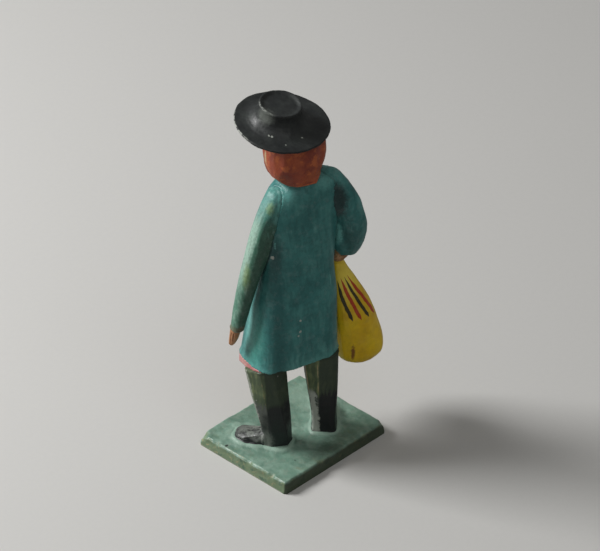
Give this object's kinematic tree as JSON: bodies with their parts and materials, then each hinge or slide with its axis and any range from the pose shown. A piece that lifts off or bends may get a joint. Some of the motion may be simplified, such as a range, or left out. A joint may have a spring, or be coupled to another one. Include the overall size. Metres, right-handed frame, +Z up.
{
  "type": "carved wooden figurine",
  "caption": "Small hand-carved, painted wooden figure of a person in a long coat and broad hat, carrying a bundle, standing on a flat rectangular base plate.",
  "frame": {"origin": "centre of the base plate's flat underside", "axes": "+Z up the figure, -Y to the front of the base plate, +X to the figure's left"},
  "size_m": [0.0386, 0.0275, 0.0832],
  "materials": {
    "base_paint": "worn pale green oil paint on wood, satin",
    "nail_steel": "plain drawn wire",
    "trouser_paint": "thin grey-green oil paint on knife-cut wood, satin",
    "boot_paint": "black oil paint on wood, semi-gloss",
    "coat_paint": "blue-green oil paint with brush strokes on carved wood, satin",
    "waistcoat_paint": "rose oil paint on wood, satin",
    "skin_paint": "tan oil paint on wood, satin",
    "bundle_paint": "yellow oil paint with red and black strokes on wood, satin",
    "hair_paint": "red-brown oil paint on knife-cut wood, satin",
    "hat_paint": "black oil paint on carved wood, semi-gloss",
    "bare_wood": "bare pale wood"
  },
  "bodies": {
    "root": {"base_plate": "base_paint", "base_nails": "nail_steel", "left_leg": "trouser_paint", "right_leg": "trouser_paint", "left_boot_toe": "boot_paint", "right_boot_toe": "boot_paint", "hip_pegs": "bare_wood", "coat_body": "coat_paint", "waistcoat": "waistcoat_paint", "left_arm": "coat_paint", "right_arm": "coat_paint", "shoulder_pegs": "bare_wood", "left_hand": "skin_paint", "right_hand": "skin_paint", "bundle": "bundle_paint", "neck_peg": "bare_wood", "head": "hair_paint", "hat_peg": "bare_wood", "hat": "hat_paint"}
  },
  "joints": []
}
